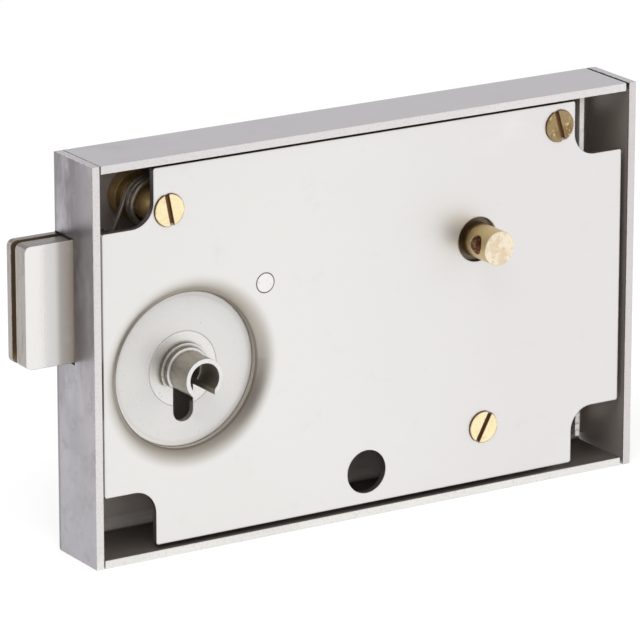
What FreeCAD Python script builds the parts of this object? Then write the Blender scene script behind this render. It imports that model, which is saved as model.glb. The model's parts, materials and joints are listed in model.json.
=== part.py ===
import FreeCAD, Part
import math
import os

# Surface lock in a folded steel case, millimetres.
# X runs from the bolt to the far wall, Z up, and the cover faces -Y.
# The origin is the middle of the four fixing holes, on the outer face of the back.
# Below, u is measured from the left wall, w from the bottom and d from the open front.

# Case
CASE_W = 140.0
CASE_H = 90.0
CASE_D = 19.0
SHEET = 1.8
BEND = 1.5
SEAM_LEFT = 0.3
SEAM_RIGHT = 0.9
FIXING_INSET = 8.0
FIXING_R = 2.6

# Cover plate
COVER_T = 1.5
COVER_RECESS = 0.7
COVER_GAP_LEFT = 0.8
COVER_GAP_RIGHT = 1.5
COVER_GAP_TOP = 0.7
COVER_GAP_BOTTOM = 1.1
NOTCH_W = 12.7
NOTCH_H = 12.8
NOTCH_R = 5.4
CORNER_R = 0.5
PLAIN_HOLE_R = 5.0
PLAIN_HOLE_U = 69.2
PLAIN_HOLE_W = 10.2

# Cover screws and their pillars
SCREW_R = 1.75
SCREW_HEAD_R = 3.6
SCREW_PROUD = 0.4
SCREW_DEPTH = 9.0
SCREW_SLOT_W = 1.1
SCREW_SLOT_D = 0.9
PILLAR_R = 4.0
COLLAR_R = 5.6
COLLAR_H = 3.0
TENON_R = 2.4
SPRING_SCREW_U = 19.1
SPRING_SCREW_DROP = 12.2
TOP_SCREW_INSET = 20.2
TOP_SCREW_DROP = 7.6
LOW_SCREW_INSET = 39.9
LOW_SCREW_W = 15.4
SLOT_ANGLES = (101.0, 106.5, 61.9)

# Key disc and barrel
KEY_U = 24.3
KEY_DROP = 49.4
DISH_R = 21.2
DISH_ROUND = 3.9
DISH_SLOPE = 50.0
DISC_R = 17.4
DISC_T = 1.55
DISC_SUNK = 1.3
DISC_LIP = 1.4
FLANGE_R = 8.4
COLLAR_LOW_R = 5.95
COLLAR_LOW_H = 1.1
COLLAR_TOP_R = 5.35
COLLAR_TOP_H = 2.4
COLLAR_ROUND = 0.5
COLLAR_CUT = 2.8
TUBE_R = 4.6
TUBE_WALL = 1.0
TUBE_L = 9.35
TUBE_BORE_L = 7.4
BORE_R = 3.15
KEY_SLOT_W = 5.0
KEY_SLOT_L = 12.0

# Bolt, of four plates
BOLT_H = 27.4
BOLT_RISE = 3.95
BOLT_OUT = 11.5
BOLT_IN = 10.0
TIP_R = 1.4
PLATES = (2.35, 1.7, 2.1, 1.7)
CORE_BACK = 1.3
BODY_RISE = 7.4
BODY_H = 21.0
BODY_END = 62.0
BODY_SLOPE = 4.5
STEP_U = 50.0
TAIL_ROUND = 3.0
ARM_STEP = 4.5
ARM_LIP = 4.0
ARM_ROUND = 1.0
THROW = BOLT_OUT
EXTRA_THROW = 8.2
TALON_W = 9.0
TALON_U = 29.0
TALON_R = 2.5
BIT_R = 11.8
RIVET_R = 1.5
HEAD_RIVET_U = 4.5
HEAD_RIVET_INSET = 5.6
TAIL_RIVET_U = 18.0
TAIL_RIVET_INSET = 3.7
TAIL_RIVET_DROP = 4.2

# Levers
POST_U = 43.1
POST_RISE = 17.3
POST_R = 2.1
POST_BASE_R = 3.5
POST_FLANGE_R = 4.1
POST_FLANGE_T = 0.3
LEVERS = 5
LEVER_T = 1.15
LEVER_GAP = 0.2
LEVER_LIFT = 9.0
GATE_LIFTS = (4.2, 6.6, 5.0, 7.4, 5.8)
LEVER_END = 23.0
LEVER_RISE = 27.8
LEVER_TOE_RISE = 6.4
LEVER_TOE_U = 34.5
LEVER_BOSS_R = 5.6
LEVER_ROUND = 3.0
LEVER_TIP_R = 1.5
BELLY_R = 9.4
STUMP = 3.4
STUMP_ROUND = 0.3
STUMP_U = 29.2
STUMP_RISE = 23.4

# Lever springs and their stud
LEAF_T = 0.45
LEAF_WALL = 1.9
LEAF_R = 6.3
LEAF_ROOT = 3.9
STUD_R = 2.2
STUD_U = 31.7
STUD_RISE = 9.8

# Guide pin
PIN_R = 2.5
PIN_HEAD_R = 4.2
PIN_HEAD_T = 0.95
PIN_U = 74.0

# Spindle and follower
SPINDLE_U = 98.2
SPINDLE_RISE = 18.8
SPINDLE_R = 3.925
SPINDLE_OUT = 8.2
SPINDLE_SQUARE = 5.5
SPINDLE_CHAMFER = 0.15
JOURNAL_R = 2.7
CROSS_HOLE_R = 2.1
CROSS_HOLE_IN = 3.8
CROSS_HOLE_L = 5.0
CROSS_HOLE_TURN = 8.0
HUB_R = 5.05
HUB_SUNK = 1.0
HUB_PLATE_R = 5.6
FOLLOWER_R = 9.0
NOSE_R = 3.0
NECK_W = 4.6
NOSE_GAP = 0.35
NOTCH_BEVEL = 1.6

# Return spring on the top left pillar
WIRE = 1.1
COIL_R = 5.3
COIL_FRONT = 7.2
COIL_BACK = 10.5
COIL_TURNS = 2
COIL_START = 114.0
COIL_END = 159.2
LEG_UP = 11.6
LEG_DOWN = 9.4

# Partition
PART_T = 1.2
PART_INSET = 12.45
PART_LOW = 8.2
FOOT_W = 7.7
FOOT_RISE = 13.8
FOOT_H = 46.0

# Clearances
RUN = 0.05
SLIDE = 0.1
FIT = 0.03
SLOT_GAP = 0.4
SLOT_FRONT_GAP = 0.7
POCKET_GAP = 0.3
PAST = 1.0
SAME = 1e-6

# Depths and places that follow from the sizes above
BEND_OUT = BEND + SHEET
COVER_BACK = COVER_RECESS + COVER_T
INNER_BACK = CASE_D - SHEET
BOLT_BACK = INNER_BACK - SLIDE
PLATE_D = [BOLT_BACK - sum(PLATES[i:]) for i in range(len(PLATES) + 1)]
TAIL_FRONT = PLATE_D[2]
DISH_ANGLE = math.radians(DISH_SLOPE)
DISC_HOLE_R = DISC_R + SLIDE
FLANK_R = DISH_R - DISH_ROUND * math.sin(DISH_ANGLE)
FLANK_D = COVER_RECESS + DISH_ROUND * (1 - math.cos(DISH_ANGLE))
LIP_D = FLANK_D + (FLANK_R - DISC_HOLE_R) * math.tan(DISH_ANGLE)
DISC_D = LIP_D + DISC_SUNK
DISC_FLANGE_D = LIP_D + COVER_T + SLIDE
DISC_BACK = DISC_D + DISC_T
LEVER_D = DISC_BACK + LEVER_GAP
LEVER_PITCH = LEVER_T + LEVER_GAP
PACK_BACK = LEVER_D + LEVERS * LEVER_PITCH
COVER_LEFT = SHEET + COVER_GAP_LEFT
COVER_RIGHT = CASE_W - SHEET - COVER_GAP_RIGHT
COVER_BOTTOM = SHEET + COVER_GAP_BOTTOM
COVER_TOP = CASE_H - SHEET - COVER_GAP_TOP
KEY_W = CASE_H - KEY_DROP
BOLT_W = KEY_W + BOLT_RISE
BOLT_TOP = BOLT_W + BOLT_H
BODY_W = KEY_W + BODY_RISE
BODY_TOP = BODY_W + BODY_H
POST_W = KEY_W + POST_RISE
LEVER_TOP = KEY_W + LEVER_RISE
LEVER_TOE = KEY_W + LEVER_TOE_RISE
STUMP_W = KEY_W + STUMP_RISE
WINDOW_RIGHT = STUMP_U + STUMP / 2 + THROW + POCKET_GAP
LEAF_U = WINDOW_RIGHT + LEAF_WALL
STUD_W = LEVER_TOP + STUD_RISE
SPINDLE_W = KEY_W + SPINDLE_RISE
ARM_W = BODY_W - ARM_STEP
ARM_TOP = SPINDLE_W - HUB_PLATE_R - SLIDE
HEAD_RIVETS = ((HEAD_RIVET_U, BOLT_W + HEAD_RIVET_INSET), (HEAD_RIVET_U, BOLT_TOP - HEAD_RIVET_INSET))
TAIL_RIVETS = ((TAIL_RIVET_U, BODY_TOP - TAIL_RIVET_DROP),
               (BODY_END - TAIL_RIVET_INSET, BODY_TOP - TAIL_RIVET_DROP))
SPRING_SCREW = (SPRING_SCREW_U, CASE_H - SPRING_SCREW_DROP)
TOP_SCREW = (CASE_W - TOP_SCREW_INSET, CASE_H - TOP_SCREW_DROP)
LOW_SCREW = (CASE_W - LOW_SCREW_INSET, LOW_SCREW_W)
SCREWS = (SPRING_SCREW, TOP_SCREW, LOW_SCREW)
PIN_W = (ARM_W + ARM_TOP) / 2
FOLLOWER_ANGLE = math.degrees(math.asin(THROW / 2 / FOLLOWER_R))
NOSE_U = SPINDLE_U - THROW / 2
NOSE_LOW = SPINDLE_W - FOLLOWER_R - NOSE_R
ARM_END = NOSE_U + NOSE_R + NOSE_GAP + NOTCH_BEVEL + ARM_LIP
INTO = FreeCAD.Vector(0, 1, 0)
FRONT = -40.0


def at(u, d, w):
    return FreeCAD.Vector(u - CASE_W / 2, d - CASE_D, w - CASE_H / 2)


def block(u0, u1, d0, d1, w0, w1):
    return Part.makeBox(u1 - u0, d1 - d0, w1 - w0, at(u0, d0, w0))


def rod(u, w, r, d0, d1):
    return Part.makeCylinder(r, d1 - d0, at(u, d0, w), INTO)


def cone(u, w, r0, r1, d0, d1):
    return Part.makeCone(r0, r1, d1 - d0, at(u, d0, w), INTO)


def rounded(corners, d0, d1):
    """A plate with the given outline of (u, w, corner radius), from depth d0 to d1."""
    points = [at(u, d0, w) for u, w, _ in corners]
    ends = []
    for i, (_, _, r) in enumerate(corners):
        here = points[i]
        if r == 0:
            ends.append((here, here, None))
            continue
        back = (points[i - 1] - here).normalize()
        ahead = (points[(i + 1) % len(points)] - here).normalize()
        half = back.getAngle(ahead) / 2
        reach = r / math.tan(half)
        middle = here + (back + ahead).normalize() * (r / math.sin(half) - r)
        ends.append((here + back * reach, here + ahead * reach, middle))
    edges = []
    for i, (start, end, middle) in enumerate(ends):
        if middle is not None:
            edges.append(Part.Arc(start, middle, end).toShape())
        following = ends[(i + 1) % len(ends)][0]
        if (following - end).Length > SAME:
            edges.append(Part.LineSegment(end, following).toShape())
    return Part.Face(Part.Wire(edges)).extrude(INTO * (d1 - d0))


def rectangle(u0, u1, w0, w1, r, d0, d1):
    return rounded([(u0, w0, r), (u1, w0, r), (u1, w1, r), (u0, w1, r)], d0, d1)


def turned(u, w, profile):
    """A solid turned about the depth axis at (u, w) from straight (radius, depth) runs."""
    wire = Part.makePolygon([at(u + r, d, w) for r, d in profile + profile[:1]])
    return Part.Face(wire).revolve(at(u, 0, w), INTO, 360)


def round_edges(shape, r, wanted):
    edges = [e for e in shape.Edges if wanted(e.CenterOfMass)]
    return shape.makeFillet(r, edges)


def fuse(first, *others):
    return first.fuse(list(others)).removeSplitter()


def save(name, *shapes):
    solids = [s for shape in shapes for s in shape.Solids]
    whole = solids[0] if len(solids) == 1 else Part.makeCompound(solids)
    if not all(s.isValid() for s in solids):
        raise ValueError(name + " is not a valid solid")
    whole.exportStep("parts/" + name + ".step")
    print("%-20s %2d solid %9.1f mm3" % (name, len(solids), whole.Volume))


# Case


def folded(outer, inner, along_w):
    """One channel of the case: outer box less inner box, bent round the back."""
    back = at(0, CASE_D, 0).y
    wall = at(0, INNER_BACK, 0).y

    def bend(y):
        def wanted(p):
            side = abs(p.x) if along_w else abs(p.z)
            return abs(p.y - y) < SAME and side > SHEET
        return wanted

    solid = round_edges(outer, BEND_OUT, bend(back))
    hollow = round_edges(inner, BEND, bend(wall))
    return solid, solid.cut(hollow)


def make_case():
    sides_outer = block(0, CASE_W, 0, CASE_D, 0, CASE_H)
    sides_inner = block(SHEET, CASE_W - SHEET, -PAST, INNER_BACK, -PAST, CASE_H + PAST)
    solid, sides = folded(sides_outer, sides_inner, True)
    for w0, w1 in ((-PAST, BEND_OUT), (CASE_H - BEND_OUT, CASE_H + PAST)):
        sides = sides.cut(block(SHEET, CASE_W - SHEET, -PAST, CASE_D + PAST, w0, w1))
    ends_outer = block(0, CASE_W, 0, CASE_D, 0, CASE_H)
    ends_inner = block(-PAST, CASE_W + PAST, -PAST, INNER_BACK, SHEET, CASE_H - SHEET)
    bent_ends, ends = folded(ends_outer, ends_inner, False)
    seams = block(SHEET + SEAM_LEFT, CASE_W - SHEET - SEAM_RIGHT, 0, CASE_D, 0, CASE_H)
    case = fuse(sides.common(bent_ends), ends.common(solid).common(seams))
    slot_front = PLATE_D[0] - SLOT_FRONT_GAP
    case = case.cut(block(-PAST, BEND_OUT + SLIDE, slot_front, INNER_BACK + FIT,
                          BOLT_W - SLOT_GAP, BOLT_TOP + SLOT_GAP))
    holes = [(u, w, FIXING_R) for u, w in fixing_places()]
    holes += [(u, w, TENON_R + FIT) for u, w in SCREWS]
    holes += [(POST_U, POST_W, TENON_R + FIT), (PIN_U, PIN_W, TENON_R + FIT)]
    holes += [(STUD_U, STUD_W, STUD_R - SLIDE + FIT), (SPINDLE_U, SPINDLE_W, JOURNAL_R + RUN)]
    for u, w, r in holes:
        case = case.cut(rod(u, w, r, INNER_BACK - PAST, CASE_D + PAST))
    return case


def fixing_places():
    sides = (FIXING_INSET, CASE_W - FIXING_INSET)
    levels = (FIXING_INSET, CASE_H - FIXING_INSET)
    return [(u, w) for u in sides for w in levels]


# Cover plate


def dish():
    """The pressed rim round the key disc, turned from two arcs and straight flanks."""
    centre_d = COVER_RECESS + DISH_ROUND
    inner_round = DISH_ROUND - COVER_T

    def on_arc(radius, angle):
        return at(KEY_U + DISH_R - radius * math.sin(angle),
                  centre_d - radius * math.cos(angle), KEY_W)

    def point(r, d):
        return at(KEY_U + r, d, KEY_W)

    flank_back = on_arc(inner_round, DISH_ANGLE)
    lip_back = LIP_D + COVER_T
    drop = at(0, lip_back, 0).y - flank_back.y
    lip_r = flank_back.x - at(KEY_U, 0, 0).x - drop / math.tan(DISH_ANGLE)
    edges = [
        Part.Arc(point(DISH_R, COVER_RECESS), on_arc(DISH_ROUND, DISH_ANGLE / 2),
                 on_arc(DISH_ROUND, DISH_ANGLE)).toShape(),
        Part.LineSegment(on_arc(DISH_ROUND, DISH_ANGLE), point(DISC_HOLE_R, LIP_D)).toShape(),
        Part.LineSegment(point(DISC_HOLE_R, LIP_D), point(DISC_HOLE_R, lip_back)).toShape(),
        Part.LineSegment(point(DISC_HOLE_R, lip_back), point(lip_r, lip_back)).toShape(),
        Part.LineSegment(point(lip_r, lip_back), flank_back).toShape(),
        Part.Arc(flank_back, on_arc(inner_round, DISH_ANGLE / 2),
                 point(DISH_R, COVER_BACK)).toShape(),
        Part.LineSegment(point(DISH_R, COVER_BACK), point(DISH_R, COVER_RECESS)).toShape(),
    ]
    return Part.Face(Part.Wire(edges)).revolve(at(KEY_U, 0, KEY_W), INTO, 360)


def make_cover():
    left = COVER_LEFT
    right = COVER_RIGHT
    low = COVER_BOTTOM
    top = COVER_TOP
    c = CORNER_R
    outline = [
        (left + NOTCH_W, low, c), (right - NOTCH_W, low, c),
        (right - NOTCH_W, low + NOTCH_H, NOTCH_R), (right, low + NOTCH_H, c),
        (right, top - NOTCH_H, c), (right - NOTCH_W, top - NOTCH_H, NOTCH_R),
        (right - NOTCH_W, top, c), (left + NOTCH_W, top, c),
        (left + NOTCH_W, top - NOTCH_H, NOTCH_R), (left, top - NOTCH_H, c),
        (left, low + NOTCH_H, c), (left + NOTCH_W, low + NOTCH_H, NOTCH_R),
    ]
    plate = rounded(outline, COVER_RECESS, COVER_BACK)
    plate = plate.cut(rod(KEY_U, KEY_W, DISH_R, -PAST, CASE_D))
    plate = fuse(plate, dish())
    head = SCREW_HEAD_R + 2 * RUN
    for u, w in SCREWS:
        plate = plate.cut(cone(u, w, head, head - COVER_T, COVER_RECESS, COVER_BACK))
    for u, w, r in ((PLAIN_HOLE_U, PLAIN_HOLE_W, PLAIN_HOLE_R),
                    (POST_U, POST_W, POST_R + SLIDE), (SPINDLE_U, SPINDLE_W, HUB_R + RUN)):
        plate = plate.cut(rod(u, w, r, -PAST, COVER_BACK + PAST))
    return plate


def make_screw(place, angle):
    u, w = place
    top = COVER_RECESS - SCREW_PROUD
    neck = COVER_RECESS + SCREW_HEAD_R - SCREW_R
    screw = fuse(rod(u, w, SCREW_HEAD_R, top, COVER_RECESS),
                 cone(u, w, SCREW_HEAD_R, SCREW_R, COVER_RECESS, neck),
                 rod(u, w, SCREW_R, neck, COVER_RECESS + SCREW_DEPTH))
    slot = block(u - 2 * SCREW_HEAD_R, u + 2 * SCREW_HEAD_R, top - PAST,
                 top + SCREW_SLOT_D, w - SCREW_SLOT_W / 2, w + SCREW_SLOT_W / 2)
    slot.rotate(at(u, 0, w), FreeCAD.Vector(0, -1, 0), angle)
    return screw.cut(slot)


def make_pillar(place, collar):
    u, w = place
    pillar = fuse(rod(u, w, PILLAR_R, COVER_BACK, INNER_BACK),
                  rod(u, w, TENON_R, INNER_BACK, CASE_D - RUN))
    if collar:
        pillar = fuse(pillar, rod(u, w, COLLAR_R, INNER_BACK - COLLAR_H, INNER_BACK))
    bore = SCREW_R + RUN
    mouth = SCREW_HEAD_R - COVER_T + 2 * RUN
    pillar = pillar.cut(rod(u, w, bore, COVER_BACK - PAST, COVER_RECESS + SCREW_DEPTH + PAST))
    return pillar.cut(cone(u, w, mouth, bore, COVER_BACK, COVER_BACK + mouth - bore))


# Key disc and barrel


def key_slot(width, d0, d1):
    """The way for the key's bit: from the axis down to a round end."""
    low = KEY_W - KEY_SLOT_L + width / 2
    slot = block(KEY_U - width / 2, KEY_U + width / 2, d0, d1, low, KEY_W)
    return slot.fuse(rod(KEY_U, low, width / 2, d0, d1))


def make_disc():
    profile = [
        (FLANGE_R + FIT, DISC_D), (DISC_R, DISC_D), (DISC_R, DISC_FLANGE_D),
        (DISC_R + DISC_LIP, DISC_FLANGE_D), (DISC_R + DISC_LIP, DISC_BACK),
        (FLANGE_R + FIT, DISC_BACK),
    ]
    disc = turned(KEY_U, KEY_W, profile)
    return disc.cut(key_slot(KEY_SLOT_W, FRONT, CASE_D))


def make_barrel():
    low_d = DISC_D - COLLAR_LOW_H
    top_d = DISC_D - COLLAR_TOP_H
    flange = rod(KEY_U, KEY_W, FLANGE_R, DISC_D, DISC_BACK)
    step = rod(KEY_U, KEY_W, COLLAR_LOW_R, low_d, DISC_D)
    rise = rod(KEY_U, KEY_W, COLLAR_TOP_R, top_d, low_d)
    rise = round_edges(rise, COLLAR_ROUND, lambda p: abs(p.y - at(0, top_d, 0).y) < SAME)
    collar = fuse(step, rise)
    reach = 2 * COLLAR_LOW_R
    collar = collar.cut(block(KEY_U - reach, KEY_U + reach, top_d - PAST, DISC_D,
                              KEY_W - reach, KEY_W - COLLAR_CUT))
    tube = rod(KEY_U, KEY_W, TUBE_R, DISC_D - TUBE_L, DISC_D)
    barrel = fuse(flange, collar, tube)
    barrel = barrel.cut(rod(KEY_U, KEY_W, TUBE_R - TUBE_WALL, FRONT, DISC_D - TUBE_L + TUBE_BORE_L))
    barrel = barrel.cut(rod(KEY_U, KEY_W, BORE_R, FRONT, CASE_D))
    return barrel.cut(key_slot(KEY_SLOT_W, FRONT, CASE_D))


# Bolt


def head_plate(d0, d1, back=0.0):
    """One plate of the bolt's head, set back by the given amount from the outer edges."""
    r = max(TIP_R - back, CORNER_R)
    return rounded([(-BOLT_OUT + back, BOLT_W + back, r), (BOLT_IN, BOLT_W + back, 0),
                    (BOLT_IN, BOLT_TOP - back, 0), (-BOLT_OUT + back, BOLT_TOP - back, r)], d0, d1)


def tail_plate(d0, d1):
    start = BOLT_IN - TIP_R
    big = TAIL_ROUND
    small = ARM_ROUND
    notch = NOSE_R + NOSE_GAP
    left, right = NOSE_U - notch, NOSE_U + notch
    floor = NOSE_LOW - POCKET_GAP
    outline = [
        (start, BODY_W, 0), (STEP_U, BODY_W, big), (STEP_U + BODY_W - ARM_W, ARM_W, big),
        (ARM_END, ARM_W, small), (ARM_END, ARM_TOP, small), (right + NOTCH_BEVEL, ARM_TOP, 0),
        (right, ARM_TOP - NOTCH_BEVEL, 0), (right, floor, small), (left, floor, small),
        (left, ARM_TOP - NOTCH_BEVEL, 0), (left - NOTCH_BEVEL, ARM_TOP, 0),
        (BODY_END + BODY_SLOPE, ARM_TOP, big), (BODY_END, ARM_TOP + BODY_SLOPE, big),
        (BODY_END, BODY_TOP, small), (start, BODY_TOP, 0),
    ]
    tail = rounded(outline, d0, d1)
    for u, w, r in ((POST_U, POST_W, POST_BASE_R), (PIN_U, PIN_W, PIN_R)):
        side = r + SLIDE
        left = u - THROW - side - POCKET_GAP
        right = u + EXTRA_THROW + side + POCKET_GAP
        tail = tail.cut(rectangle(left, right, w - side, w + side, side - FIT, d0 - PAST, d1 + PAST))
    half = TALON_W / 2
    return tail.cut(rectangle(TALON_U - half, TALON_U + half, BODY_W - TALON_W,
                              KEY_W + BIT_R, TALON_R, d0 - PAST, d1 + PAST))


def drilled(plate, places, d0, d1, r=RIVET_R):
    for u, w in places:
        plate = plate.cut(rod(u, w, r + FIT, d0 - PAST, d1 + PAST))
    return plate


def make_bolt():
    d = PLATE_D
    core = fuse(head_plate(d[2], d[3], CORE_BACK), tail_plate(d[2], d[3]))
    back = fuse(head_plate(d[3], d[4]), tail_plate(d[3], d[4]))
    shared = HEAD_RIVETS + TAIL_RIVETS + ((STUMP_U, STUMP_W),)
    rivets = [rod(u, w, RIVET_R, d[0] + RUN, d[4] - RUN) for u, w in HEAD_RIVETS]
    rivets += [rod(u, w, RIVET_R, d[2], d[4] - RUN) for u, w in TAIL_RIVETS]
    half = STUMP / 2
    post = rectangle(STUMP_U - half, STUMP_U + half, STUMP_W - half, STUMP_W + half,
                     STUMP_ROUND, LEVER_D - LEVER_GAP, d[2])
    stump = fuse(post, rod(STUMP_U, STUMP_W, RIVET_R, d[2], d[4] - RUN))
    save("bolt_front_plate", drilled(head_plate(d[0], d[1]), HEAD_RIVETS, d[0], d[1]))
    save("bolt_second_plate", drilled(head_plate(d[1], d[2]), HEAD_RIVETS, d[1], d[2]))
    save("bolt_core_plate", drilled(core, shared, d[2], d[3]))
    save("bolt_back_plate", drilled(back, shared, d[3], d[4]))
    save("bolt_rivets", *rivets)
    save("bolt_stump", stump)


# Levers


def in_lever(u, w, lift):
    """Where a fixed point lies in a lever that is raised by this many degrees."""
    angle = math.radians(lift)
    x, z = u - POST_U, w - POST_W
    return (POST_U + x * math.cos(angle) - z * math.sin(angle),
            POST_W + x * math.sin(angle) + z * math.cos(angle))


def make_lever(index):
    d0 = LEVER_D + index * LEVER_PITCH
    d1 = d0 + LEVER_T
    right = POST_U + LEVER_BOSS_R
    big = LEVER_ROUND
    body = rounded([(LEVER_END, LEVER_TOP, LEVER_TIP_R), (LEVER_END, LEVER_TOE, 0),
                    (LEVER_TOE_U, LEVER_TOE, big), (POST_U, POST_W - LEVER_BOSS_R, big),
                    (right, POST_W, big), (right, LEVER_TOP, big)], d0, d1)
    lever = fuse(body, rod(POST_U, POST_W, LEVER_BOSS_R, d0, d1))
    lever = lever.cut(rod(KEY_U, KEY_W, BELLY_R, d0 - PAST, d1 + PAST))
    lever = lever.cut(rod(POST_U, POST_W, POST_R + RUN, d0 - PAST, d1 + PAST))
    half = STUMP / 2
    gap = POCKET_GAP
    top = STUMP_W + half + gap
    window_left = in_lever(STUMP_U - half, STUMP_W + half, LEVER_LIFT)[0] - gap
    low_left = in_lever(STUMP_U - half, STUMP_W - half, LEVER_LIFT)[1] - gap
    low_right = in_lever(STUMP_U + THROW - half, STUMP_W - half, LEVER_LIFT)[1] - gap
    window = [(window_left, low_left, 0), (WINDOW_RIGHT, low_right, 0),
              (WINDOW_RIGHT, top, 0), (window_left, top, 0)]
    lever = lever.cut(rounded(window, d0 - PAST, d1 + PAST))
    gate = in_lever((LEVER_END + STUMP_U) / 2, STUMP_W, GATE_LIFTS[index])[1]
    lever = lever.cut(block(LEVER_END - PAST, window_left + PAST, d0 - PAST, d1 + PAST,
                            gate - half - gap, gate + half + gap))
    slit = LEAF_T / 2 + RUN
    return lever.cut(block(LEAF_U - slit, LEAF_U + slit, d0 - PAST, d1 + PAST,
                           LEVER_TOP - LEAF_ROOT, LEVER_TOP + PAST))


def make_leaf(index):
    """A strip that stands in the lever's top edge and curves over to the stud."""
    d0 = LEVER_D + index * LEVER_PITCH
    d1 = d0 + LEVER_T
    top = STUD_W - STUD_R - RUN
    knee = top - LEAF_T / 2 - LEAF_R
    outer = LEAF_R + LEAF_T / 2
    inner = LEAF_R - LEAF_T / 2
    centre_u = LEAF_U - LEAF_R
    bow = rod(centre_u, knee, outer, d0, d1).cut(rod(centre_u, knee, inner, d0 - PAST, d1 + PAST))
    bow = bow.common(block(centre_u, centre_u + outer, d0, d1, knee, knee + outer))
    leg = block(LEAF_U - LEAF_T / 2, LEAF_U + LEAF_T / 2, d0, d1,
                LEVER_TOP - LEAF_ROOT + RUN, knee)
    tip = block(STUD_U - STUD_R / 2, centre_u, d0, d1, top - LEAF_T, top)
    return fuse(bow, leg, tip)


# Fixed posts


def make_post():
    flange = PACK_BACK + POST_FLANGE_T
    return fuse(rod(POST_U, POST_W, POST_R, COVER_RECESS, PACK_BACK),
                rod(POST_U, POST_W, POST_FLANGE_R, PACK_BACK, flange),
                rod(POST_U, POST_W, POST_BASE_R, flange, INNER_BACK),
                rod(POST_U, POST_W, TENON_R, INNER_BACK, CASE_D - RUN))


def make_guide_pin():
    head = TAIL_FRONT - SLIDE
    return fuse(rod(PIN_U, PIN_W, PIN_HEAD_R, head - PIN_HEAD_T, head),
                rod(PIN_U, PIN_W, PIN_R, head, INNER_BACK),
                rod(PIN_U, PIN_W, TENON_R, INNER_BACK, CASE_D - RUN))


def make_stud():
    return fuse(rod(STUD_U, STUD_W, STUD_R, LEVER_D - LEVER_T, INNER_BACK),
                rod(STUD_U, STUD_W, STUD_R - SLIDE, INNER_BACK, CASE_D - RUN))


def make_partition():
    left = CASE_W - PART_INSET - PART_T
    right = CASE_W - PART_INSET
    top = CASE_H - SHEET - SLIDE
    leg = block(left, right, COVER_BACK + SLIDE, INNER_BACK, PART_LOW, top)
    corner = at(0, INNER_BACK, top)
    leg = round_edges(leg, BEND + SLIDE, lambda p: abs(p.y - corner.y) + abs(p.z - corner.z) < SAME)
    foot = block(left - FOOT_W, left + PART_T / 2, INNER_BACK - PART_T, INNER_BACK,
                 PART_LOW + FOOT_RISE, PART_LOW + FOOT_RISE + FOOT_H)
    return fuse(leg, foot)


# Spindle and follower


def square_bar(size, d0, d1):
    half = size / 2
    return rectangle(SPINDLE_U - half, SPINDLE_U + half, SPINDLE_W - half, SPINDLE_W + half,
                     CORNER_R, d0, d1)


def make_spindle():
    """Stud, square and journal, built square on, turned to the rest angle and cross-drilled."""
    u, w = SPINDLE_U, SPINDLE_W
    shoulder = COVER_RECESS + HUB_SUNK - RUN
    end = -SPINDLE_OUT
    stud = turned(u, w, [(0, end), (SPINDLE_R - SPINDLE_CHAMFER, end),
                         (SPINDLE_R, end + SPINDLE_CHAMFER), (SPINDLE_R, shoulder), (0, shoulder)])
    spindle = fuse(stud, square_bar(SPINDLE_SQUARE, shoulder, INNER_BACK - SLIDE),
                   rod(u, w, JOURNAL_R, INNER_BACK - SLIDE, CASE_D - RUN))
    spindle.rotate(at(u, 0, w), INTO, FOLLOWER_ANGLE)
    mouth = at(u - 2 * SPINDLE_R, end + CROSS_HOLE_IN, w)
    length = CROSS_HOLE_L + SPINDLE_R
    hole = Part.makeCylinder(CROSS_HOLE_R, length, mouth, FreeCAD.Vector(1, 0, 0))
    hole.rotate(at(u, 0, w), INTO, CROSS_HOLE_TURN)
    return spindle.cut(hole)


def make_follower():
    """Hub, neck and round nose, built pointing down and turned to the rest angle."""
    u, w = SPINDLE_U, SPINDLE_W
    front = COVER_RECESS + HUB_SUNK
    arm_front = TAIL_FRONT + SLIDE
    arm_back = INNER_BACK - 2 * SLIDE
    hub = rod(u, w, HUB_R, front, arm_front)
    plate = rod(u, w, HUB_PLATE_R, arm_front, arm_back)
    nose = rod(u, w - FOLLOWER_R, NOSE_R, arm_front, arm_back)
    neck = block(u - NECK_W / 2, u + NECK_W / 2, arm_front, arm_back, w - FOLLOWER_R, w)
    follower = fuse(hub, plate, nose, neck)
    follower = follower.cut(square_bar(SPINDLE_SQUARE + 2 * RUN, front - PAST, CASE_D))
    follower.rotate(at(u, 0, w), INTO, FOLLOWER_ANGLE)
    return follower


# Return spring


def make_return_spring():
    """A torsion spring: leg, turns and leg as one tube, with its least gap printed."""
    u, w = SPRING_SCREW
    total = 360.0 * COIL_TURNS + COIL_END - COIL_START
    pitch = (COIL_BACK - COIL_FRONT) / total * 360

    def on_coil(turn):
        angle = math.radians(COIL_START + turn)
        depth = COIL_FRONT + pitch * turn / 360
        return at(u + COIL_R * math.cos(angle), depth, w + COIL_R * math.sin(angle))

    def heading(turn):
        angle = math.radians(COIL_START + turn)
        side = FreeCAD.Vector(-math.sin(angle), 0, math.cos(angle))
        return (side * (2 * math.pi * COIL_R) + INTO * pitch).normalize()

    start, first = on_coil(0), heading(0)
    edges = [Part.LineSegment(start - first * LEG_UP, start).toShape()]
    steps = int(math.ceil(total / 90.0))
    for i in range(steps):
        a, b = i * total / steps, (i + 1) * total / steps
        edges += biarc(on_coil(a), heading(a), on_coil(b), heading(b))
    end, last = on_coil(total), heading(total)
    edges.append(Part.LineSegment(end, end + last * LEG_DOWN).toShape())
    path = Part.Wire(edges)
    circle = Part.Wire(Part.makeCircle(WIRE / 2, start - first * LEG_UP, first))
    spring = path.makePipeShell([circle], True, False)
    print("return spring: least gap between turns %.2f mm, length %.1f mm, volume ratio %.4f"
          % (pitch - WIRE, path.Length, spring.Volume / (path.Length * math.pi * WIRE ** 2 / 4)))
    return spring


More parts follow.
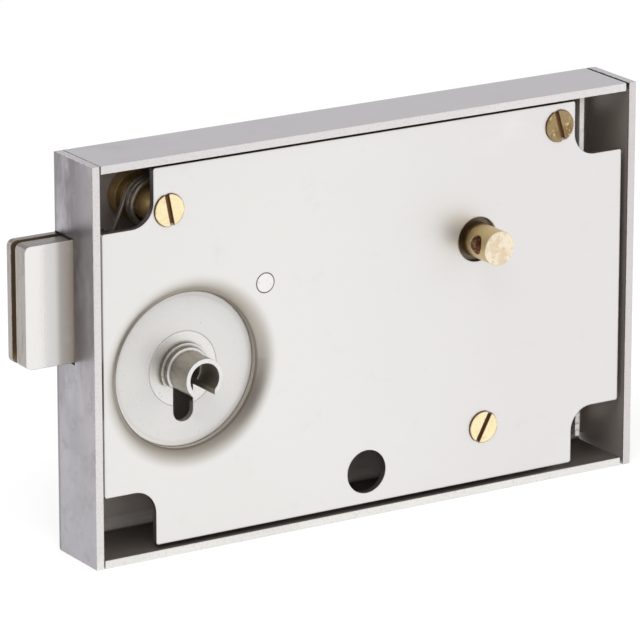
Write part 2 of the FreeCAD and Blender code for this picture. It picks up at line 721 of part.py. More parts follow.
def biarc(p0, t0, p1, t1):
    """Two arcs that join in the middle and keep the heading at both ends."""
    chord = p1 - p0
    both = t0 + t1
    a = both.dot(both) - 4
    b = -2 * chord.dot(both)
    c = chord.dot(chord)
    reach = (-b - math.sqrt(b * b - 4 * a * c)) / (2 * a)
    if reach < 0:
        reach = (-b + math.sqrt(b * b - 4 * a * c)) / (2 * a)
    q0 = p0 + t0 * reach
    q1 = p1 - t1 * reach
    middle = (q0 + q1) * 0.5
    arcs = []
    for start, corner, stop in ((p0, q0, middle), (middle, q1, p1)):
        half = (start - corner).getAngle(stop - corner) / 2
        radius = (start - corner).Length * math.tan(half)
        toward = ((start + stop) * 0.5 - corner).normalize()
        crown = corner + toward * (radius / math.sin(half) - radius)
        arcs.append(Part.Arc(start, crown, stop).toShape())
    return arcs


def main():
    os.makedirs("parts", exist_ok=True)
    save("case", make_case())
    save("cover_plate", make_cover())
    save("cover_screws", *[make_screw(p, a) for p, a in zip(SCREWS, SLOT_ANGLES)])
    save("spring_pillar", make_pillar(SPRING_SCREW, True))
    save("cover_pillars", *[make_pillar(p, False) for p in SCREWS[1:]])
    save("key_disc", make_disc())
    save("key_barrel", make_barrel())
    make_bolt()
    save("lever_post", make_post())
    save("guide_pin", make_guide_pin())
    save("lever_spring_stud", make_stud())
    save("partition", make_partition())
    save("spindle", make_spindle())
    save("follower", make_follower())
    save("return_spring", make_return_spring())
    for i in range(LEVERS):
        save("lever_%d" % (i + 1), make_lever(i))
        save("lever_spring_%d" % (i + 1), make_leaf(i))


main()
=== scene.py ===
import json
import math

import bpy
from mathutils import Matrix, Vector


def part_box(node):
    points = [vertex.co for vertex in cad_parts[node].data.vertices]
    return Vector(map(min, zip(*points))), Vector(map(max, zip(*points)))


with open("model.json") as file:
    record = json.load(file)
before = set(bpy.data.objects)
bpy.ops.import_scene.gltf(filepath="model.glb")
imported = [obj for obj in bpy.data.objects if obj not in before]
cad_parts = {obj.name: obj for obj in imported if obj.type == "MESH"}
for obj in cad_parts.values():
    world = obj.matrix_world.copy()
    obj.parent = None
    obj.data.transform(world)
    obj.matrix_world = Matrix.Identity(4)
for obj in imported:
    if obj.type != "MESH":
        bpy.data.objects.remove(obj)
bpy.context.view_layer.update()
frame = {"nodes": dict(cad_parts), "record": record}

MM = 1000.0  # millimetres in a metre: the materials are worked out in millimetres


# Places on the object in millimetres, read from the frame


def box(node):
    """A node's lowest and highest corners."""
    return [Vector(corner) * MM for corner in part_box(node)]


def middle(node):
    """The middle of a node's box."""
    low, high = box(node)
    return (low + high) / 2


def round_ends(node, apart=10.0, depth=0.05):
    """The middles of a node's separate front ends.

    Two ends are separate when they stand further apart than the given distance. Points within the given
    depth of the foremost one belong to an end.
    """
    points = [vertex.co * MM for vertex in frame["nodes"][node].data.vertices]
    front = min(point.y for point in points) + depth
    groups = []
    for point in points:
        if point.y < front:
            near = [group for group in groups if (group[0] - point).length < apart]
            if near:
                near[0].append(point)
            else:
                groups.append([point])
    ends = []
    for group in groups:
        low, high = (Vector([pick(point[i] for point in group) for i in range(3)]) for pick in (min, max))
        ends.append((low + high) / 2)
    return ends


CASE_LOW, CASE_HIGH = box("case")
SHEET = 1.8  # thickness of the case's sheet
CORE_FRONT = box("bolt_core_plate")[0].y
SPINDLE_END = box("spindle")[0].y
KEY_AXIS = middle("key_disc")
SPINDLE_AXIS = middle("spindle")
POST_AXIS = middle("lever_post")
SCREWS = round_ends("cover_screws")
SCREW_END = SCREWS[0].y
LAST_SCREW = max(SCREWS, key=lambda screw: screw.x + screw.z)


# Node helpers


class Graph:
    """A node tree built by short calls. An input is a number, a tuple or another node's output."""

    def __init__(self, tree):
        self.tree = tree
        tree.nodes.clear()

    def feed(self, socket, value):
        """Links or sets one input. None leaves it as it is."""
        if isinstance(value, bpy.types.NodeSocket):
            self.tree.links.new(value, socket)
        elif value is not None:
            socket.default_value = value

    def add(self, kind, *inputs, out=0, **settings):
        """A new node with its first inputs in order. Gives one output, or the node where it has none."""
        node = self.tree.nodes.new(kind)
        for key, value in settings.items():
            setattr(node, key, value)
        for socket, value in zip(node.inputs, inputs):
            self.feed(socket, value)
        return node.outputs[out] if node.outputs else node

    def math(self, operation, a, b=None):
        """An operation on one or two numbers."""
        return self.add("ShaderNodeMath", a, b, operation=operation)

    def vector(self, operation, a, b=None, out=0):
        """An operation on one or two vectors. Output 0 is a vector and output 1 a number."""
        return self.add("ShaderNodeVectorMath", a, b, operation=operation, out=out)

    def product(self, first, *others):
        """All the values times each other."""
        for other in others:
            first = self.math("MULTIPLY", first, other)
        return first

    def split(self, vector):
        """The X, Y and Z of a vector."""
        node = self.tree.nodes.new("ShaderNodeSeparateXYZ")
        self.feed(node.inputs[0], vector)
        return node.outputs

    def join(self, x, y, z):
        """A vector of three numbers."""
        return self.add("ShaderNodeCombineXYZ", x, y, z)

    def ramp(self, value, start, end, at_start=0.0, at_end=1.0):
        """Goes smoothly from one level to the other while the value goes from start to end."""
        return self.add("ShaderNodeMapRange", value, start, end, at_start, at_end,
                        interpolation_type="SMOOTHSTEP")

    def blend(self, factor, a, b, kind="RGBA"):
        """From a to b by a factor: colours or, with the kind FLOAT, plain numbers."""
        node = self.tree.nodes.new("ShaderNodeMix")
        node.data_type = kind
        first, out = (6, 2) if kind == "RGBA" else (2, 0)
        for socket, value in ((0, factor), (first, a), (first + 1, b)):
            self.feed(node.inputs[socket], value)
        return node.outputs[out]

    def noise(self, place, scale, detail=4.0, roughness=0.6):
        """A smooth random pattern."""
        return self.add("ShaderNodeTexNoise", place, None, scale, detail, roughness)

    def seen(self, *kinds):
        """1 for rays of the given kinds and 0 for others."""
        path = self.tree.nodes.new("ShaderNodeLightPath")
        found = path.outputs[kinds[0]]
        for kind in kinds[1:]:
            found = self.math("MAXIMUM", found, path.outputs[kind])
        return found


# Metals


# How quickly the grain changes along X, Y and Z: slowly along the brush marks
BRUSHED_X = (0.35, 9.0, 9.0)
BRUSHED_Z = (9.0, 9.0, 0.35)
EVEN = (5.0, 5.0, 5.0)
EVEN_FINE = (6.0, 6.0, 6.0)

BROAD_MARKS = (0.23, 0.23, 0.23)  # how quickly the broad marks change beside the fine ones
FACING = (-0.60, -0.90)  # a normal's Y, from faces that lean to those that look straight forward
TURNED = (-0.75, -0.35)  # and from faces that look forward to those that don't
LEAST_ROUGH = 0.08
BROWN = (0.075, 0.055, 0.045)  # dirt and painted shade in corners and joints


class Metal(Graph):
    """A metal's material. Its grain sets the first colour and roughness, and masks paint over them.

    All sizes are in millimetres. The grain follows the object's axes or, where an axis along Y is given,
    it runs round that axis: its two numbers are then for the radius and for Y. Lines and cloud say how
    strong the brush marks and the clouding are. Edge is the radius that sharp edges seem to have.
    """

    def __init__(self, name, colour, rough, grain, lines=0.06, cloud=0.06, cloud_size=12.0, axis=None,
                 edge=0.25, metallic=1.0):
        self.material = bpy.data.materials.new(name)
        self.material.use_nodes = True
        super().__init__(self.material.node_tree)
        self.place = self.vector("MULTIPLY", self.add("ShaderNodeTexCoord", out=3), (MM, MM, MM))
        self.x, self.y, self.z = self.split(self.place)
        self.normal = self.add("ShaderNodeNewGeometry", out=1)
        self.normal_x, self.normal_y, self.normal_z = self.split(self.normal)
        self.front = self.ramp(self.normal_y, *FACING)
        if axis is None:
            run = self.vector("MULTIPLY", self.place, grain)
        else:
            run = self.join(self.product(self.away(axis), grain[0]), self.product(self.y, grain[1]), 0.0)
        self.fine = self.noise(run, 1.0, detail=5.0, roughness=0.7)
        broad = self.noise(self.vector("MULTIPLY", run, BROAD_MARKS), 1.0, detail=3.0)
        mottled = self.noise(self.place, 1.0 / cloud_size)
        level = self.math("ADD", self.vary(self.fine, lines, about=1.0), self.vary(broad, lines))
        level = self.math("ADD", level, self.vary(mottled, cloud))
        self.level = self.join(level, level, level)
        self.soft = self.add("ShaderNodeBevel", edge / MM, samples=6)
        self.shade = self.tone(colour)
        self.rough = self.math("ADD", self.vary(mottled, 0.12, about=rough), self.vary(self.fine, 0.10))
        self.metallic = metallic

    def vary(self, noise, amount, about=0.0):
        """A noise as a small change either side of a number."""
        return self.math("ADD", about - amount / 2, self.product(noise, amount))

    def tone(self, colour):
        """A colour with the metal's own grain and clouding in it."""
        return self.vector("MULTIPLY", colour, self.level)

    def away(self, axis):
        """Distance from an axis along Y."""
        offset = self.vector("SUBTRACT", self.place, tuple(axis))
        return self.vector("LENGTH", self.vector("MULTIPLY", offset, (1.0, 0.0, 1.0)), out=1)

    def paint(self, colour, *masks, rough=None, metallic=None):
        """Lays a colour over what is there, by all the masks at once."""
        mask = self.product(*masks)
        self.shade = self.blend(mask, self.shade, self.tone(colour))
        if rough is not None:
            self.rough = self.blend(mask, self.rough, rough, "FLOAT")
        if metallic is not None:
            self.metallic = self.blend(mask, self.metallic, metallic, "FLOAT")

    def blotches(self, size, low, high, amount=1.0, stretch=(1.0, 1.0, 1.0)):
        """Soft patches, from where the noise passes low to where it reaches high.

        They are drawn out along an axis whose stretch is small.
        """
        place = self.vector("MULTIPLY", self.place, stretch)
        return self.ramp(self.noise(place, 1.0 / size, detail=5.0, roughness=0.65), low, high, at_end=amount)

    def wear_and_highlight(self, colour, amount=0.8):
        """Paler outer edges, broken up in patches: partly worn by handling and partly a painted highlight.
        """
        bend = self.vector("DOT_PRODUCT", self.soft, self.normal, out=1)  # 1 where a face is flat
        edge_wear_and_highlight = self.ramp(bend, 0.995, 0.90, at_end=amount)
        # painted highlight and worn metal: a paler colour on rounded edges
        self.paint(colour, edge_wear_and_highlight, self.blotches(size=0.8, low=0.36, high=0.62))

    def grime_and_shade(self, colour, reach, amount=1.0):
        """Dirt together with painted shade, in corners and along joints within the given reach: darker where
        nearby faces hem the surface in.
        """
        open_sky = self.add("ShaderNodeAmbientOcclusion", None, reach / MM, out=1, samples=6)
        occluded = self.ramp(open_sky, 0.80, 0.35, at_end=amount)
        # painted shade and dirt where occlusion is high
        self.paint(colour, occluded, self.blotches(size=1.6, low=0.20, high=0.50), rough=0.6)

    def finish(self, depth):
        """Links it all up, with a bump of the given depth."""
        bump = self.tree.nodes.new("ShaderNodeBump")
        shader = self.tree.nodes.new("ShaderNodeBsdfPrincipled")
        for node, name, value in (
                (bump, "Strength", 0.6), (bump, "Distance", depth / MM), (bump, "Height", self.fine),
                (bump, "Normal", self.soft), (shader, "Normal", bump.outputs[0]),
                (shader, "Base Color", self.shade), (shader, "Metallic", self.metallic),
                (shader, "Roughness", self.math("MAXIMUM", self.rough, LEAST_ROUGH))):
            self.feed(node.inputs[name], value)
        self.add("ShaderNodeOutputMaterial", shader.outputs[0])
        return self.material


# The case, its cover and what turns in it


def paint_left_wall(m):
    """Upright streaks with painted shade that deepens upwards, a paler band near the rim, patches and a dark
    bend.
    """
    left = m.ramp(m.normal_x, -0.7, -0.9)
    upwards = m.ramp(m.z, -30.0, 25.0, at_start=0.10, at_end=0.95)
    streaks = m.blotches(size=7.0, low=0.34, high=0.58, stretch=(0.0, 0.9, 0.30))
    near_rim = m.ramp(m.y, -10.0, -17.0, at_end=0.6)
    patches = m.blotches(size=3.0, low=0.50, high=0.70, amount=0.5)
    bend = m.ramp(m.y, CASE_HIGH.y - 3.8, CASE_HIGH.y - 2.6, at_end=0.85)
    leftwards = m.ramp(m.normal_x, 0.0, -0.2)
    # painted shade: the streaks darken upwards
    m.paint((0.225, 0.208, 0.225), left, upwards, streaks)
    m.paint((0.42, 0.40, 0.415), left, upwards, near_rim)
    m.paint((0.30, 0.28, 0.29), left, patches)
    m.paint((0.19, 0.175, 0.18), bend, leftwards)


def paint_case_rim(m):
    """The walls' cut front edges: pale, palest at the bottom and greyer at the right, with small pits."""
    rim = m.product(m.front, m.ramp(m.y, CASE_LOW.y + 0.4, CASE_LOW.y + 0.1))
    bottom = m.ramp(m.z, CASE_LOW.z + 4.0, CASE_LOW.z + 2.0)
    right = m.ramp(m.x, CASE_HIGH.x - 2.4, CASE_HIGH.x - 1.9)
    pits = m.blotches(size=0.45, low=0.45, high=0.70, amount=0.35)
    m.paint((0.78, 0.755, 0.75), rim, rough=0.42)
    m.paint((0.83, 0.82, 0.79), rim, bottom)
    m.paint((0.68, 0.645, 0.645), rim, right)
    m.paint((0.53, 0.50, 0.48), rim, pits)


def paint_case_inside(m):
    """Brownish walls, a paler back with painted light at its lower left and a painted highlight along its
    bottom bend at the left, and a dark floor.
    """
    wall = 1.5  # less than the sheet, so that its inner faces are inside
    inside = m.ramp(m.y, CASE_LOW.y + 0.05, CASE_LOW.y + 0.6)
    for value, low, high in ((m.x, CASE_LOW.x, CASE_HIGH.x), (m.z, CASE_LOW.z, CASE_HIGH.z)):
        inside = m.product(inside, m.math("GREATER_THAN", value, low + wall),
                           m.math("LESS_THAN", value, high - wall))
    inside = m.product(inside, m.math("LESS_THAN", m.y, CASE_HIGH.y - wall))
    back = m.product(inside, m.ramp(m.normal_y, -0.5, -0.9))
    at_left, below = m.ramp(m.x, -42.0, -50.0), m.ramp(m.z, 0.0, -20.0)
    patches = m.blotches(size=6.0, low=0.45, high=0.70, amount=0.4)
    floor = CASE_LOW.z + SHEET
    band = m.product(m.ramp(m.z, floor + 3.4, floor + 2.4), m.ramp(m.z, floor + 0.1, floor + 0.5))
    leftwards = m.ramp(m.x, -30.0, -50.0, at_start=0.1)
    upward_face = m.ramp(m.normal_z, 0.75, 0.95)
    m.paint((0.42, 0.375, 0.34), inside, rough=0.45, metallic=0.5)
    m.paint((0.74, 0.68, 0.645), back, rough=0.5, metallic=0.25)
    # painted light: the back is paler at the lower left
    m.paint((0.86, 0.78, 0.735), back, at_left, below, rough=0.5, metallic=0.25)
    m.paint((0.34, 0.30, 0.265), inside, patches)
    # painted highlight along the bend at the bottom of the back
    m.paint((1.0, 0.94, 0.89), back, band, leftwards, rough=0.4, metallic=0.25)
    m.paint((0.17, 0.145, 0.13), inside, upward_face, rough=0.45, metallic=0.5)


def case_steel():
    """Brushed grey sheet, with painted shade in patches towards the left."""
    m = Metal("case_steel", (0.455, 0.44, 0.468), 0.33, BRUSHED_X, cloud=0.10)
    leftwards = m.ramp(m.x, 0.0, -60.0)
    shaded = m.blotches(size=9.0, low=0.45, high=0.70, amount=0.5)
    specks = m.blotches(size=0.45, low=0.66, high=0.76, amount=0.5)
    above_floor = m.ramp(m.z, CASE_LOW.z + 0.3, CASE_LOW.z + 0.8, at_end=0.9)
    # painted shade: darker patches towards the left
    m.paint((0.37, 0.355, 0.375), leftwards, shaded)
    paint_left_wall(m)
    paint_case_rim(m)
    m.wear_and_highlight((0.90, 0.89, 0.87), amount=0.9)
    paint_case_inside(m)
    m.paint((0.20, 0.17, 0.15), specks)
    m.grime_and_shade(BROWN, reach=0.5, amount=above_floor)
    return m.finish(depth=0.004)


def cover_steel():
    """Bright plate with painted shade in the dish round the key disc. Its cut edges are dark; the left one
    is pale, partly as a freshly cut edge and partly as painted light.
    """
    m = Metal("cover_steel", (0.835, 0.822, 0.805), 0.40, BRUSHED_X, lines=0.02, cloud=0.03,
              cloud_size=30.0, edge=0.4, metallic=0.8)
    rightwards = m.ramp(m.x, -30.0, 50.0, at_end=0.8)
    clouds = m.blotches(size=30.0, low=0.15, high=0.45)
    patches = m.blotches(size=9.0, low=0.58, high=0.74, amount=0.35)
    m.paint((0.775, 0.755, 0.75), rightwards, clouds)
    m.paint((0.74, 0.725, 0.71), patches)
    m.wear_and_highlight((0.90, 0.89, 0.88), amount=0.5)

    radius = m.away(KEY_AXIS)
    dish = m.ramp(radius, 22.2, 18.4)
    outside_dish = m.ramp(radius, 22.0, 23.0)
    cut = m.product(m.ramp(m.math("ABSOLUTE", m.normal_y), 0.5, 0.2), outside_dish)
    between_notches = m.ramp(m.math("ABSOLUTE", m.z), 30.5, 29.5)
    left = m.ramp(m.normal_x, -0.5, -0.8)
    # painted shade: the dish round the key disc is darker
    m.paint((0.485, 0.448, 0.40), dish, rough=0.40, metallic=1.0)
    m.paint((0.22, 0.18, 0.18), cut, rough=0.4)
    m.grime_and_shade(BROWN, reach=0.5, amount=0.9)
    # painted light on the left cut edge between the notches, partly a freshly cut edge's own paleness
    m.paint((0.93, 0.88, 0.82), cut, between_notches, left, rough=0.3, metallic=0.0)

    lip, lip_front = m.ramp(radius, 17.95, 17.75), m.ramp(m.normal_y, -0.3, -0.6)
    hole, hole_wall = m.ramp(radius, 17.9, 17.7), m.ramp(m.normal_y, -0.4, -0.2)
    round_post = m.ramp(m.away(POST_AXIS), 2.42, 2.30)
    # painted shade: a dark line on the lip round the key disc
    m.paint((0.33, 0.29, 0.25), lip, lip_front, rough=0.5)
    m.paint((0.42, 0.385, 0.34), hole, hole_wall, rough=0.4, metallic=0.4)
    # painted shade: a dark ring on the front round the post
    m.paint((0.27, 0.23, 0.20), m.front, round_post, rough=0.5)
    return m.finish(depth=0.0015)


def disc_steel():
    """Turned disc with a few specks, a faint painted shadow line near its edge and a painted highlight round
    its edge.
    """
    m = Metal("disc_steel", (0.80, 0.785, 0.77), 0.38, (6.0, 3.0), lines=0.02, cloud=0.05, axis=KEY_AXIS,
              edge=0.3, metallic=0.45)
    radius = m.away(KEY_AXIS)
    patches = m.blotches(size=7.0, low=0.54, high=0.74, amount=0.35)
    side = m.ramp(m.normal_y, -0.7, -0.3)
    specks = m.blotches(size=0.45, low=0.665, high=0.71, amount=0.8)
    within_ring = m.ramp(radius, 16.2, 15.8, at_end=0.9)
    ring_start, ring_end = m.ramp(radius, 15.9, 16.4, at_end=0.4), m.ramp(radius, 16.9, 16.5)
    edge = m.ramp(radius, 16.7, 17.0)
    m.paint((0.68, 0.655, 0.635), patches)
    m.wear_and_highlight((0.85, 0.835, 0.81), amount=0.7)
    m.paint((0.50, 0.46, 0.42), side)
    m.paint((0.14, 0.10, 0.08), specks)
    m.grime_and_shade(BROWN, reach=0.5, amount=within_ring)
    # painted shade: a faint shadow line inside the edge
    m.paint((0.66, 0.635, 0.61), ring_start, ring_end)
    # painted highlight round the disc's edge
    m.paint((0.84, 0.82, 0.79), edge)
    return m.finish(depth=0.002)


def barrel_steel():
    """Key tube: bright ends, darker stained sides, dirt round the collar and a brown bore."""
    m = Metal("barrel_steel", (0.81, 0.80, 0.785), 0.36, (5.0, 5.0), lines=0.05, cloud=0.08,
              axis=KEY_AXIS, edge=0.3, metallic=0.8)
    radius = m.away(KEY_AXIS)
    side = m.ramp(m.normal_y, *TURNED)
    stains = m.blotches(size=2.5, low=0.42, high=0.66, amount=0.75, stretch=(1.0, 0.3, 1.0))
    collar = m.ramp(radius, 4.85, 5.0)
    dirt = m.blotches(size=0.9, low=0.30, high=0.55)
    bore, bore_wall = m.ramp(radius, 3.75, 3.65), m.ramp(m.normal_y, -0.9, -0.6)
    specks = m.blotches(size=0.45, low=0.62, high=0.70, amount=0.7)
    m.paint((0.47, 0.435, 0.375), side, rough=0.40, metallic=1.0)
    m.paint((0.31, 0.275, 0.225), side, stains)
    m.paint((0.30, 0.255, 0.19), side, collar, dirt)
    m.wear_and_highlight((0.90, 0.885, 0.86), amount=0.9)
    m.paint((0.30, 0.26, 0.21), bore, bore_wall, rough=0.4, metallic=0.7)
    m.paint((0.12, 0.09, 0.07), specks)
    m.grime_and_shade((0.11, 0.085, 0.06), reach=0.9)
    return m.finish(depth=0.003)


# The bolt and the smaller steel pieces


def bolt_steel():
    """Polished bolt. Towards the case its front carries painted light and then painted shade, its top faces
    carry painted shade, and its groove is brown.
    """
    m = Metal("bolt_steel", (0.81, 0.795, 0.77), 0.20, BRUSHED_Z, lines=0.015, cloud=0.05, metallic=0.9)
    wall = CASE_LOW.x
    pale, shaded = m.ramp(m.x, wall - 9.0, wall - 4.6), m.ramp(m.x, wall - 4.4, wall - 2.6)
    at_wall, patches = m.ramp(m.x, wall - 3.0, wall), m.blotches(size=4.0, low=0.20, high=0.55)
    # painted light: paler towards the case, making up for the shade it casts
    m.paint((0.98, 0.965, 0.94), pale, rough=0.35, metallic=0.1)
    # painted shade: darker still nearer the case
    m.paint((0.60, 0.555, 0.515), shaded)
    m.paint((0.48, 0.42, 0.36), at_wall, patches)

    groove = m.ramp(m.y, CORE_FRONT + 0.1, CORE_FRONT + 0.4)
    side = m.ramp(m.math("ABSOLUTE", m.normal_y), 0.75, 0.40)
    top = m.ramp(m.normal_z, 0.5, 0.8)
    stains = m.blotches(size=1.5, low=0.50, high=0.72, amount=0.7, stretch=(1.0, 1.0, 0.2))
    specks = m.blotches(size=0.5, low=0.68, high=0.78, amount=0.5)
    m.paint((0.30, 0.225, 0.14), m.front, groove, rough=0.45, metallic=0.9)
    m.paint((0.43, 0.395, 0.37), side, rough=0.36, metallic=0.9)
    # painted shade on the bolt's top faces
    m.paint((0.225, 0.205, 0.205), top, rough=0.36)
    m.paint((0.24, 0.205, 0.18), side, stains)
    m.wear_and_highlight((0.82, 0.80, 0.78))
    m.paint((0.30, 0.22, 0.16), specks)
    m.grime_and_shade(BROWN, reach=0.3)
    return m.finish(depth=0.0006)


def core_steel():
    """Rolled plate, brown and stained."""
    m = Metal("core_steel", (0.21, 0.155, 0.10), 0.42, (4.0, 7.0, 0.3), lines=0.25, cloud=0.35)
    stains = m.blotches(size=2.5, low=0.45, high=0.65, amount=0.7, stretch=(1.0, 1.0, 0.4))
    m.paint((0.24, 0.135, 0.06), stains)
    return m.finish(depth=0.006)


def rivet_steel():
    """Plain steel with pale edges."""
    m = Metal("rivet_steel", (0.62, 0.61, 0.60), 0.32, EVEN)
    m.wear_and_highlight((0.80, 0.79, 0.78))
    m.grime_and_shade(BROWN, reach=0.4)
    return m.finish(depth=0.003)


def post_steel():
    """The post's end is as bright as the cover round it."""
    m = Metal("post_steel", (0.87, 0.86, 0.85), 0.36, BRUSHED_X, lines=0.03, cloud=0.04, edge=0.1)
    side = m.ramp(m.normal_y, -0.8, -0.4)
    patches = m.blotches(size=0.6, low=0.55, high=0.70, amount=0.5)
    m.paint((0.55, 0.54, 0.53), side)
    m.paint((0.50, 0.48, 0.46), patches)
    m.grime_and_shade(BROWN, reach=0.3, amount=0.8)
    return m.finish(depth=0.002)


def partition_steel():
    """Coated sheet with a pale, spotted front edge and a darker right side."""
    m = Metal("partition_steel", (0.66, 0.63, 0.61), 0.40, (6.0, 6.0, 0.4), lines=0.15, cloud=0.2,
              metallic=0.35)
    spots = m.blotches(size=1.2, low=0.35, high=0.60)
    stains = m.blotches(size=1.6, low=0.55, high=0.72, amount=0.5)
    right = m.ramp(m.normal_x, 0.5, 0.8)
    below, small_spots = m.ramp(m.z, -10.0, -25.0), m.blotches(size=1.0, low=0.42, high=0.62)
    m.paint((0.74, 0.72, 0.70), m.front, spots)
    m.wear_and_highlight((0.85, 0.83, 0.80))
    m.paint((0.30, 0.26, 0.23), stains)
    m.paint((0.34, 0.30, 0.27), right)
    m.paint((0.40, 0.37, 0.35), below, small_spots)
    m.grime_and_shade(BROWN, reach=0.5, amount=0.6)
    return m.finish(depth=0.006)


def dark_steel():
    """Dark steel with brown patches and paler edges."""
    m = Metal("dark_steel", (0.13, 0.11, 0.085), 0.36, EVEN, lines=0.2, cloud=0.3)
    m.paint((0.24, 0.18, 0.12), m.blotches(size=1.5, low=0.55, high=0.72, amount=0.6))
    m.wear_and_highlight((0.46, 0.42, 0.36))
    return m.finish(depth=0.006)


def spring_steel():
    """Spring wire and leaves, brown in patches."""
    m = Metal("spring_steel", (0.42, 0.375, 0.33), 0.30, EVEN, lines=0.1, cloud=0.2, cloud_size=4.0,
              metallic=0.8)
    m.paint((0.22, 0.17, 0.13), m.blotches(size=1.5, low=0.50, high=0.70, amount=0.6))
    return m.finish(depth=0.003)


# Brass


def brass():
    """The cover screws: stained heads, with painted shade at their rims and in their slots. The last one is
    browner.
    """
    m = Metal("brass", (0.94, 0.82, 0.52), 0.28, EVEN_FINE, cloud=0.12, cloud_size=3.0, edge=0.2)
    patches = m.blotches(size=1.6, low=0.48, high=0.66, amount=0.7)
    spots = m.blotches(size=0.6, low=0.60, high=0.70, amount=0.6)
    side = m.ramp(m.normal_y, *TURNED)
    m.paint((0.86, 0.69, 0.40), m.front, patches)
    m.paint((0.58, 0.38, 0.17), m.front, spots)
    m.paint((0.66, 0.49, 0.24), side, rough=0.34)
    m.wear_and_highlight((0.97, 0.90, 0.70), amount=0.7)

    near = (4.6, 4.4)  # just round a head
    radius = m.away(SCREWS[0])
    for screw in SCREWS[1:]:
        radius = m.math("MINIMUM", radius, m.away(screw))
    head = m.ramp(radius, *near)
    last = m.product(m.ramp(m.away(LAST_SCREW), *near), m.front)
    stains = m.blotches(size=1.6, low=0.46, high=0.62, amount=0.85, stretch=(1.0, 1.0, 0.5))
    pale_spots = m.blotches(size=0.8, low=0.58, high=0.68, amount=0.8)
    m.paint((0.33, 0.24, 0.125), last)
    m.paint((0.24, 0.155, 0.07), last, stains)
    m.paint((0.80, 0.66, 0.40), last, pale_spots)

    rim, rim_patches = m.ramp(radius, 3.30, 3.62, at_end=0.8), m.blotches(size=1.0, low=0.30, high=0.55)
    within_rim, slot = m.ramp(radius, 3.55, 3.45), m.ramp(m.y, SCREW_END + 0.10, SCREW_END + 0.25)
    # painted shade round each head's rim, broken up in patches
    m.paint((0.38, 0.24, 0.11), head, rim, rim_patches)
    # painted shade in the slots
    m.paint((0.27, 0.135, 0.065), head, within_rim, slot, rough=0.45, metallic=0.6)
    m.grime_and_shade((0.16, 0.09, 0.05), reach=0.3, amount=0.8)
    return m.finish(depth=0.003)


def spindle_brass():
    """The spindle's end is paler than the screws: cream, with brownish stains."""
    m = Metal("spindle_brass", (0.87, 0.765, 0.61), 0.34, EVEN_FINE, lines=0.05, cloud=0.10,
              cloud_size=3.0)
    patches = m.blotches(size=2.6, low=0.46, high=0.58, amount=0.8)
    stains = m.blotches(size=1.3, low=0.60, high=0.68, amount=0.7)
    side = m.ramp(m.normal_y, *TURNED)
    inwards = m.ramp(m.y, SPINDLE_END + 2.0, SPINDLE_END + 8.5, at_end=0.8)
    m.paint((0.72, 0.58, 0.40), m.front, patches)
    m.paint((0.58, 0.38, 0.26), m.front, stains)
    m.paint((0.72, 0.55, 0.28), side, rough=0.34)
    # painted shade: the side darkens towards the cover
    m.paint((0.42, 0.28, 0.12), inwards)
    m.wear_and_highlight((0.95, 0.87, 0.71))

    below_surface = m.ramp(m.away(SPINDLE_AXIS), 3.7, 3.5)
    hole_start = m.ramp(m.y, SPINDLE_END + 0.8, SPINDLE_END + 1.2)
    hole_end = m.ramp(m.y, SPINDLE_END + 7.0, SPINDLE_END + 6.5)
    cross_hole = m.product(below_surface, hole_start, hole_end)
    spots = m.blotches(size=0.8, low=0.48, high=0.60, amount=0.9)
    m.paint((0.34, 0.15, 0.075), cross_hole, rough=0.5, metallic=0.6)
    m.paint((0.72, 0.52, 0.33), cross_hole, spots)
    m.grime_and_shade((0.10, 0.06, 0.04), reach=0.6)
    return m.finish(depth=0.004)


def pillar_brass():
    """The pillars behind the cover: browner than the screws."""
    m = Metal("pillar_brass", (0.66, 0.47, 0.21), 0.36, EVEN_FINE, lines=0.1, cloud=0.2, cloud_size=4.0,
              metallic=0.7)
    m.paint((0.42, 0.28, 0.12), m.blotches(size=2.5, low=0.45, high=0.70, amount=0.6))
    m.wear_and_highlight((0.95, 0.80, 0.50), amount=1.0)
    return m.finish(depth=0.004)


def lever_brass():
    """Levers: brass sheet, brushed lengthwise, with dirt and painted shade in its corners."""
    m = Metal("lever_brass", (0.72, 0.57, 0.31), 0.30, (0.5, 6.0, 6.0), lines=0.1, cloud=0.2, metallic=0.8)
    m.wear_and_highlight((0.85, 0.72, 0.45))
    m.grime_and_shade((0.20, 0.13, 0.07), reach=0.6, amount=0.7)
    return m.finish(depth=0.004)


def dress():
    """Gives each node the material that is named after its slot. Spindle and pillars have their own."""
    makers = (case_steel, cover_steel, disc_steel, barrel_steel, bolt_steel, core_steel, rivet_steel,
              post_steel, partition_steel, dark_steel, spring_steel, brass, lever_brass)
    slots = {make.__name__: make() for make in makers}
    own = {"spindle": spindle_brass(), "spring_pillar": pillar_brass(), "cover_pillars": pillar_brass()}
    for part in frame["record"]["subparts"]:
        materials = frame["nodes"][part["node"]].data.materials
        materials.clear()
        materials.append(own.get(part["node"], slots[part["material_slot"]]))


# Floor, light and camera, in metres


ACROSS = (0.846, 0.533, 0.0)  # level and square to the view, towards its right
WHITE = (1.0, 1.0, 1.0, 1.0)
NEARLY_WHITE = (1.0, 0.995, 0.985, 1.0)


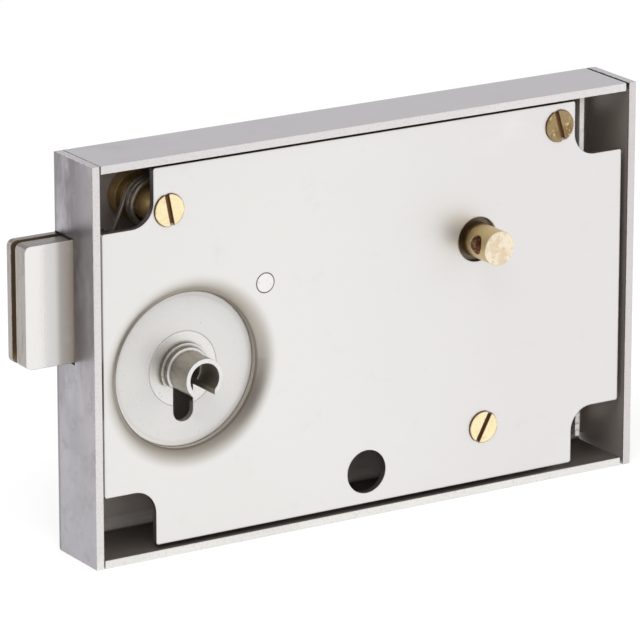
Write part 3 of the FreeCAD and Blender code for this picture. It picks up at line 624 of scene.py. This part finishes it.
def make_floor():
    """A white floor that metal shows too, fading to grey at the left as a lit table does."""
    half = 3.0
    grey, glow = (0.42, 0.42, 0.42, 1.0), 0.62
    fade_end, fade_start, faded = 0.125, 0.05, 0.10  # both distances are left of the case's corner
    z = CASE_LOW.z / MM
    mesh = bpy.data.meshes.new("floor")
    corners = [(x, y, z) for x, y in ((-half, -half), (half, -half), (half, half), (-half, half))]
    mesh.from_pydata(corners, [], [(0, 1, 2, 3)])
    floor = bpy.data.objects.new("floor", mesh)
    bpy.context.scene.collection.objects.link(floor)
    material = bpy.data.materials.new("floor")
    material.use_nodes = True
    g = Graph(material.node_tree)
    along = g.vector("DOT_PRODUCT", g.add("ShaderNodeTexCoord", out=3), ACROSS, out=1)
    corner = Vector((CASE_LOW.x, CASE_LOW.y, 0.0)).dot(Vector(ACROSS)) / MM
    side = g.ramp(along, corner - fade_end, corner - fade_start, at_start=faded)
    direct = g.seen("Is Camera Ray", "Is Glossy Ray", "Is Transmission Ray")
    level = g.blend(g.seen("Is Glossy Ray"), 1.0, side, "FLOAT")
    light = g.add("ShaderNodeEmission", WHITE, g.product(glow, direct, level))
    diffuse = g.add("ShaderNodeBsdfDiffuse", grey)
    g.add("ShaderNodeOutputMaterial", g.add("ShaderNodeAddShader", diffuse, light))
    mesh.materials.append(material)


def make_world():
    """White all round, and for metal a soft studio that is darker at the left and overhead."""
    ambient, dim_left, dim_overhead = 0.62, 0.30, 0.62
    world = bpy.data.worlds.new("studio")
    bpy.context.scene.world = world
    world.use_nodes = True
    g = Graph(world.node_tree)
    way = g.add("ShaderNodeTexCoord", out=0)
    rightwards, upwards = g.vector("DOT_PRODUCT", way, ACROSS, out=1), g.split(way)[2]
    left = g.ramp(rightwards, -0.9, -0.45, at_start=dim_left)
    over = g.ramp(upwards, 0.45, 0.90, at_start=1.0, at_end=dim_overhead)
    studio = g.blend(g.seen("Is Glossy Ray"), ambient, g.product(left, over), "FLOAT")
    level = g.blend(g.seen("Is Camera Ray", "Is Transmission Ray"), studio, 1.0, "FLOAT")
    g.add("ShaderNodeOutputWorld", g.add("ShaderNodeBackground", NEARLY_WHITE, level))


def make_lamp(name, place, size, power):
    """A soft lamp for the floor and its shadow, which metal doesn't mirror."""
    data = bpy.data.lights.new(name, "AREA")
    data.size = size
    data.energy = power
    lamp = bpy.data.objects.new(name, data)
    lamp.location = place
    lamp.rotation_euler = (-Vector(place)).to_track_quat("-Z", "Y").to_euler()
    lamp.visible_glossy = False
    bpy.context.scene.collection.objects.link(lamp)


def make_camera():
    """Looks from the left and from above, as the photograph does."""
    turn, rise = math.radians(-32.2), math.radians(16.7)
    distance = 1.186
    picture, focal, across, up = 640.0, 5360.0, 28.7, 9.0  # in pixels; the last two shift the aim
    sensor = 36.0  # its width in millimetres
    case_middle = (CASE_LOW + CASE_HIGH) / 2 / MM
    back = Vector((math.sin(turn) * math.cos(rise), -math.cos(turn) * math.cos(rise), math.sin(rise)))
    side = Vector((math.cos(turn), math.sin(turn), 0.0))
    top = back.cross(side)
    aim = case_middle - (side * across + top * up) * distance / focal
    data = bpy.data.cameras.new("camera")
    data.sensor_width = sensor
    data.lens = focal / picture * sensor
    data.clip_start, data.clip_end = 0.05, 50.0
    camera = bpy.data.objects.new("camera", data)
    camera.location = case_middle + back * distance
    camera.rotation_euler = (aim - camera.location).to_track_quat("-Z", "Y").to_euler()
    bpy.context.scene.collection.objects.link(camera)
    bpy.context.scene.camera = camera


dress()
make_floor()
make_world()
make_lamp("key_light", (-0.5, -0.5, 1.0), size=0.8, power=9.0)
make_lamp("fill_light", (0.9, -0.9, 0.6), size=0.8, power=5.0)
make_camera()
bpy.context.scene.view_settings.view_transform = "Standard"
